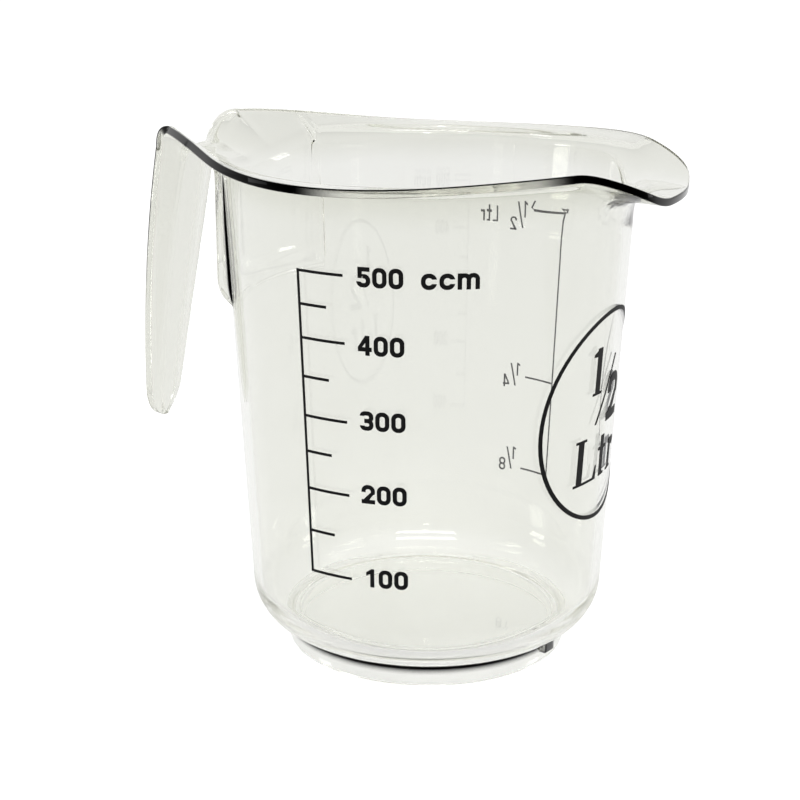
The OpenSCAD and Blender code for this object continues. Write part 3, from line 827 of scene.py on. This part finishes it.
def ink():
    material = bpy.data.materials.new("black_ink")
    g = Graph(material)
    where = g.add("TexCoord").outputs["Object"]
    grain = g.add("TexNoise", {"Scale": ink_grain, "Detail": 4, "Vector": where}).outputs["Fac"]
    colour = g.add("ValToRGB", {0: grain})
    low, high = colour.color_ramp.elements
    low.position, low.color = 0.35, ink_dark
    high.position, high.color = 0.75, ink_pale
    surface = g.add("BsdfPrincipled", {
        "Base Color": colour.outputs[0],
        "Roughness": g.spread(grain, 0, 1, to=(0.42, 0.6)),
        "Specular IOR Level": ink_specular,
    })
    g.add("OutputMaterial", {"Surface": surface.outputs[0]})
    return material


build_grip(build_body())
jug = make_object("jug_moulding")
jug.data.materials.append(clear_plastic())
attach(jug, "root")
moulded = ["foot_ring", "register_lug", "bowl_base", "bowl_wall", "handle_pocket", "rim_near",
           "rim_far", "pouring_lip", "handle_saddle", "handle_grip"]
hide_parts(*moulded)

black = ink()
for name, obj in frame["nodes"].items():
    if name not in moulded:
        obj.data.materials.clear()
        obj.data.materials.append(black)

# ---------------------------------------------------------------------------
# Floor, world, lamps and camera, in metres
# ---------------------------------------------------------------------------
floor_half = 30.0
floor_z = -0.0002
floor_colour = (0.8, 0.8, 0.8, 1)
# Light that the floor gives to what the camera sees at once, and to what it sees in
# or through a gloss or clear surface
floor_lift = 0.42
floor_lift_through = 0.17
# The room's level, and its level for rays that have left a matt surface
room_level = 1.0
room_level_matt = 0.8


def floor():
    mesh = bpy.data.meshes.new("floor")
    s = floor_half
    mesh.from_pydata([(-s, -s, 0), (s, -s, 0), (s, s, 0), (-s, s, 0)], [], [(0, 1, 2, 3)])
    obj = bpy.data.objects.new("floor", mesh)
    bpy.context.scene.collection.objects.link(obj)
    obj.location.z = floor_z
    material = bpy.data.materials.new("floor_paper")
    g = Graph(material)
    path = g.add("LightPath").outputs
    seen_through = g.math("MAXIMUM", path["Is Glossy Ray"], path["Is Transmission Ray"])
    lift = g.add("Math", {
        0: path["Is Camera Ray"],
        1: floor_lift,
        2: g.math("MULTIPLY", seen_through, floor_lift_through),
    }, operation="MULTIPLY_ADD")
    paper = g.add("BsdfDiffuse", {"Color": floor_colour})
    glow = g.add("Emission", {"Strength": lift.outputs[0]})
    both = g.add("AddShader", {0: paper.outputs[0], 1: glow.outputs[0]})
    g.add("OutputMaterial", {"Surface": both.outputs[0]})
    mesh.materials.append(material)


def world():
    room = bpy.data.worlds.new("studio")
    bpy.context.scene.world = room
    g = Graph(room)
    path = g.add("LightPath")
    matt = g.math("GREATER_THAN", path.outputs["Diffuse Depth"], 0.5)
    level = g.blend(matt, room_level, room_level_matt, kind="FLOAT")
    light = g.add("Background", {"Color": (1, 1, 1, 1), "Strength": level})
    g.add("OutputWorld", {"Surface": light.outputs[0]})


def lamp(name, at, target_z, size, power):
    data = bpy.data.lights.new(name, "AREA")
    data.shape = "RECTANGLE"
    data.size, data.size_y = size
    data.energy = power
    obj = bpy.data.objects.new(name, data)
    bpy.context.scene.collection.objects.link(obj)
    obj.location = at
    direction = Vector((0, 0, target_z)) - Vector(at)
    obj.rotation_euler = direction.to_track_quat("-Z", "Y").to_euler()


# Fitted to the photograph together with the sizes: the turn of the camera's plan from
# the jug's, in degrees, the camera's angles, in radians, its place in its own plan, and
# its focal length in pixels of a frame 800 wide
plan_turn = 20.4
pitch, yaw, roll = 0.2909, -0.0166, 0.0021
camera_at = (0, -0.400003, 0.1787367)
focal_px = 1739.483
frame_px = 800
sensor_mm = 36


def camera():
    turn = math.radians(plan_turn)
    x_axis = Vector((math.cos(turn), -math.sin(turn), 0))
    y_axis = Vector((math.sin(turn), math.cos(turn), 0))

    def to_jug(v):
        return Vector((v.dot(x_axis), v.dot(y_axis), v.z))

    forward = Vector((math.sin(yaw) * math.cos(pitch), math.cos(yaw) * math.cos(pitch),
                      -math.sin(pitch)))
    level = Vector((math.cos(yaw), -math.sin(yaw), 0))
    upright = level.cross(forward)
    r = to_jug(level * math.cos(roll) + upright * math.sin(roll))
    u = to_jug(upright * math.cos(roll) - level * math.sin(roll))
    f = to_jug(forward)
    at = to_jug(Vector(camera_at))
    data = bpy.data.cameras.new("camera")
    data.sensor_width = sensor_mm
    data.lens = focal_px / frame_px * sensor_mm
    data.clip_start = 0.01
    data.clip_end = 100
    obj = bpy.data.objects.new("camera", data)
    bpy.context.scene.collection.objects.link(obj)
    obj.matrix_world = Matrix((
        (r.x, u.x, -f.x, at.x), (r.y, u.y, -f.y, at.y), (r.z, u.z, -f.z, at.z), (0, 0, 0, 1)))
    bpy.context.scene.camera = obj


floor()
world()
lamp("soft_window", (0.33, -0.85, 1.9), 0.06, (1.2, 0.35), 8)
lamp("side_window", (-1.6, -0.45, 2.1), 0.06, (0.5, 0.5), 4)
lamp("flash", (0.59, -1.48, 1.25), 0.06, (0.14, 0.14), 2)
lamp("right_panel", (0.86, 0.44, 0.12), 0.11, (0.22, 0.2), 0.7)
lamp("left_panel", (-0.9, -0.34, 0.12), 0.11, (0.22, 0.2), 0.7)
camera()
bpy.context.scene.view_settings.view_transform = "Standard"
# light runs a long way inside the clear sheet before it comes out
cycles = bpy.context.scene.cycles
cycles.max_bounces = 128
cycles.glossy_bounces = 128
cycles.transmission_bounces = 64
